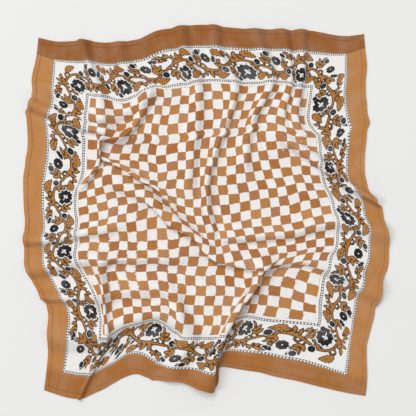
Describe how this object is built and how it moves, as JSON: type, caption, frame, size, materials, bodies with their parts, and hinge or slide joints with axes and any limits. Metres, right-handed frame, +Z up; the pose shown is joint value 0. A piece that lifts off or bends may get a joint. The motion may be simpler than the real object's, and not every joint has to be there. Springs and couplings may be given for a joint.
{
  "type": "folded bandana",
  "caption": "Square block-printed cotton bandana lying open and rumpled, with a checked middle, a flowering vine band and a plain hemmed border.",
  "frame": {"origin": "centre of the bounding box in plan, on the surface that the cloth lies on", "axes": "+Z up from the surface, +Y towards the top edge of the cloth as the picture shows it, +X towards its right edge"},
  "size_m": [0.5041, 0.5155, 0.0266],
  "materials": {
    "cotton": "matte"
  },
  "bodies": {
    "root": {"cloth": "cotton"}
  },
  "joints": []
}
